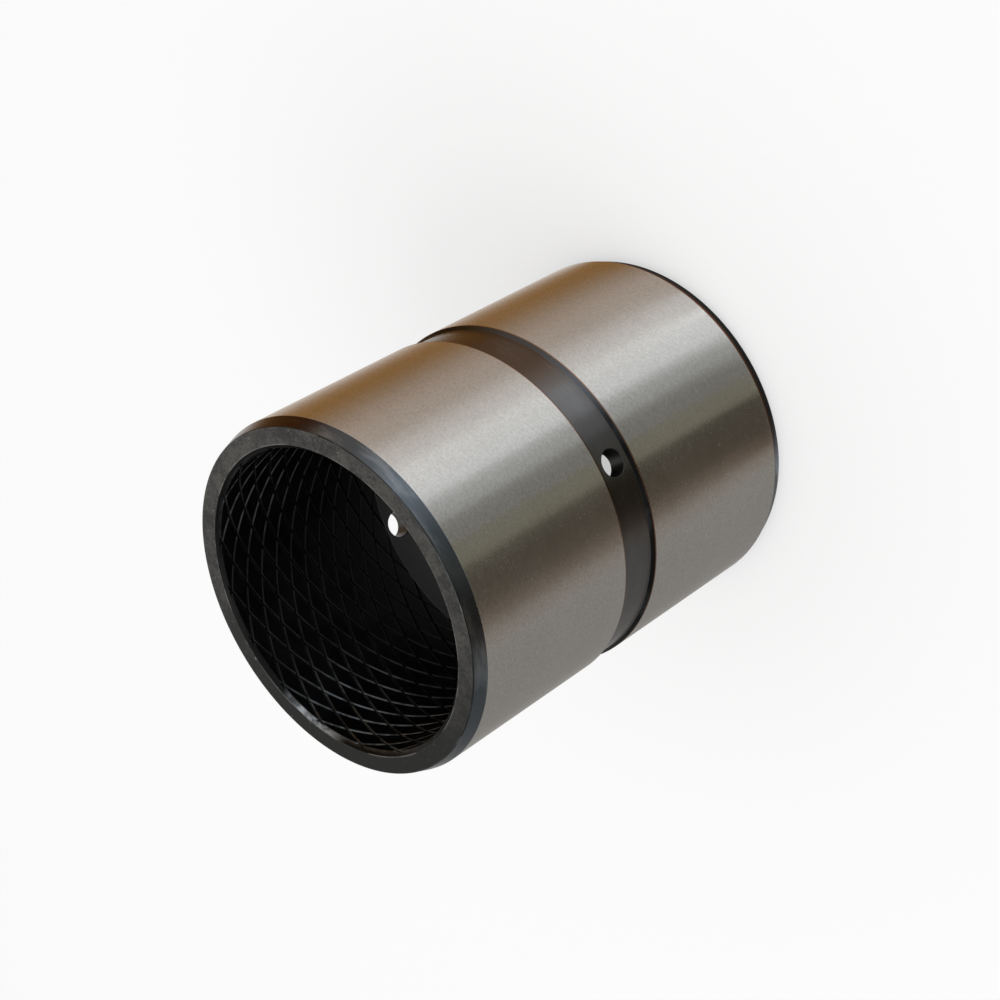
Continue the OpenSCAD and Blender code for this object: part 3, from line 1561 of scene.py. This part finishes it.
@dataclass(frozen=True)
class Surround:
    """Cards round the bushing that only its polish sees, as a photographer's flags are.

    They fan out from the bushing over the floor and then stand up. Each card's edges run
    the way that the wall at its bearing mirrors the camera, so tones change round the
    bushing and not along it.
    """

    sizes: Sizes
    camera_at: Point
    clearance: float = 0.5 * MM
    floor_run: float = 1.2
    height: float = 2.0
    stops: tuple[Mirrored, ...] = (
        Mirrored(180, (0.80, 0.80, 0.80)),
        Mirrored(196, (0.55, 0.54, 0.52)),
        Mirrored(204, (0.34, 0.33, 0.32)),
        Mirrored(240, (0.34, 0.33, 0.31)),
        Mirrored(245, (0.32, 0.28, 0.24)),
        Mirrored(249, (0.14, 0.10, 0.07)),
        Mirrored(254, (0.07, 0.055, 0.035)),
        Mirrored(263, (0.07, 0.06, 0.04)),
        Mirrored(267, (0.22, 0.21, 0.16)),
        Mirrored(274, (0.24, 0.24, 0.22)),
        Mirrored(281, (0.44, 0.45, 0.45)),
        Mirrored(288, (0.90, 0.92, 0.94)),
        Mirrored(297, (1.10, 1.12, 1.14)),
        Mirrored(299, (0.84, 0.82, 0.80)),
        Mirrored(305, (0.76, 0.73, 0.71)),
        Mirrored(308, (0.56, 0.48, 0.42)),
        Mirrored(317, (0.54, 0.45, 0.39)),
        Mirrored(322, (0.40, 0.30, 0.22)),
        Mirrored(329, (0.33, 0.17, 0.055)),
        Mirrored(341, (0.34, 0.17, 0.055)),
        Mirrored(345, (0.60, 0.46, 0.33)),
        Mirrored(348, (1.00, 0.97, 0.94)),
        Mirrored(356, (1.10, 1.08, 1.06)),
    )

    def material(self) -> bpy.types.Material:
        """Make the cards' finish, which gives each one's tone with no light on it.

        Returns:
            The material.
        """
        graph = Graph.of_material("card")
        tone = graph.node("ShaderNodeVertexColor", {"layer_name": "tone"}).outputs[0]
        return graph.end(graph.node("ShaderNodeEmission", {}, {"Color": tone}))

    def _edge(self, degrees: float) -> list[Vector]:
        """Corners of the line that parts two cards.

        Args:
            degrees: bearing of its foot.

        Returns:
            Its foot at the bushing, its far corner on the floor and its top corner.
        """
        out = self.sizes.outer_r + self.clearance
        a = math.radians(degrees)
        foot = Vector((out * math.cos(a), out * math.sin(a), self.clearance))
        to_camera = math.atan2(self.camera_at[1] - foot.y, self.camera_at[0] - foot.x)
        away = 2 * a - to_camera
        far = foot + self.floor_run * Vector((math.cos(away), math.sin(away), 0.0))
        return [foot, far, far + Vector((0.0, 0.0, self.height))]

    def make(self) -> bpy.types.Object:
        """Build the cards as one mesh.

        Returns:
            The cards' object.
        """
        points = [p for stop in self.stops for p in self._edge(stop.degrees)]
        faces = []
        for foot in range(0, len(points) - 3, 3):
            far, top = foot + 1, foot + 2
            faces += [(foot, far, far + 3, foot + 3), (far, top, top + 3, far + 3)]
        mesh = bpy.data.meshes.new("cards")
        mesh.from_pydata(points, [], faces)
        tones = mesh.color_attributes.new("tone", "FLOAT_COLOR", "POINT")
        for i, corner in enumerate(tones.data):
            corner.color = (*self.stops[i // 3].tone, 1.0)
        mesh.materials.append(self.material())
        cards = bpy.data.objects.new("cards", mesh)
        bpy.context.scene.collection.objects.link(cards)
        cards.visible_camera = False
        cards.visible_diffuse = False
        cards.visible_shadow = False
        cards.visible_transmission = False
        return cards


@dataclass(frozen=True)
class Studio:
    """The pale floor, the soft light and the camera."""

    sizes: Sizes
    camera_at: Point = (0.05288, -0.45072, 0.44173)
    camera_right: Point = (-0.44219, -0.60694, -0.66037)
    camera_up: Point = (0.89261, -0.22569, -0.39027)
    lens_mm: float = 77.62
    sensor_mm: float = 36.0
    floor_size: float = 8.0
    floor_tone: float = 0.5
    ambient: float = 0.8
    lamp_watts: float = 6.0
    lamp_size: float = 1.2
    lamp_at: Point = (-0.7, -0.5, 1.5)

    @staticmethod
    def _seen(graph: Graph) -> Field:
        """Tell what is looked at from what only takes light.

        Args:
            graph: the nodes that ask.

        Returns:
            1 for what the camera sees straight, mirrored or through glass, and 0 for light.
        """
        rays = graph.node("ShaderNodeLightPath").outputs
        straight, mirrored = (Field(graph, rays[k]) for k in ("Is Camera Ray", "Is Glossy Ray"))
        return straight.high(mirrored).high(Field(graph, rays["Is Transmission Ray"]))

    def floor(self) -> bpy.types.Object:
        """Lay the floor under the bushing.

        Returns:
            The floor's object.
        """
        graph = Graph.of_material("pale_floor")
        matte = graph.node("ShaderNodeBsdfDiffuse", {}, {"Color": (self.floor_tone,) * 3})
        seen = self._seen(graph) * (1 - self.floor_tone)
        glow = graph.node("ShaderNodeEmission", {}, {"Strength": seen})
        both = graph.node("ShaderNodeAddShader", {}, {0: matte.outputs[0], 1: glow.outputs[0]})
        bpy.ops.mesh.primitive_plane_add(size=self.floor_size, location=(0, 0, 0))
        plane = bpy.context.object
        plane.name = "floor"
        plane.data.materials.append(graph.end(both))
        return plane

    def world(self) -> None:
        """Surround the scene with soft light, and with white where it is seen."""
        graph = Graph(bpy.data.worlds.new("soft_world"))
        strength = self._seen(graph) * (1 - self.ambient) + self.ambient
        white = {"Color": (1.0, 1.0, 1.0), "Strength": strength}
        bpy.context.scene.world = graph.end(graph.node("ShaderNodeBackground", {}, white))

    def lamp(self) -> None:
        """Hang one wide soft lamp over the bushing."""
        data = bpy.data.lights.new("soft_lamp", "AREA")
        data.shape = "DISK"
        data.size = self.lamp_size
        data.energy = self.lamp_watts
        lamp = bpy.data.objects.new("soft_lamp", data)
        bpy.context.scene.collection.objects.link(lamp)
        lamp.location = self.lamp_at
        lamp.rotation_euler = Vector(self.lamp_at).to_track_quat("Z", "Y").to_euler()

    def camera(self) -> None:
        """Make the camera at the photograph's viewing angle."""
        data = bpy.data.cameras.new("camera")
        data.lens = self.lens_mm
        data.sensor_width = self.sensor_mm
        camera = bpy.data.objects.new("camera", data)
        bpy.context.scene.collection.objects.link(camera)
        right, up = Vector(self.camera_right), Vector(self.camera_up)
        turn = Matrix((right, up, right.cross(up))).transposed()
        camera.matrix_world = Matrix.Translation(self.camera_at) @ turn.to_4x4()
        bpy.context.scene.camera = camera

    def set_up(self) -> list[bpy.types.Object]:
        """Build the whole studio.

        Returns:
            The floor and the cards.
        """
        stage = [self.floor(), Surround(self.sizes, self.camera_at).make()]
        self.world()
        self.lamp()
        self.camera()
        bpy.context.scene.view_settings.view_transform = "Standard"
        return stage


def report(made: bpy.types.Object) -> None:
    """Log how large the mesh of a piece is."""
    mesh = made.data
    log.info("%s: %d vertices, %d faces", made.name, len(mesh.vertices), len(mesh.polygons))


def main() -> None:
    """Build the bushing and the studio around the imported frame."""
    logging.basicConfig(level=logging.INFO, format="%(name)s: %(message)s")
    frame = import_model()
    sizes = Sizes.from_frame(frame)
    report(Bushing(sizes).make())
    for made in Studio(sizes).set_up():
        report(made)


if __name__ == "__main__":
    main()
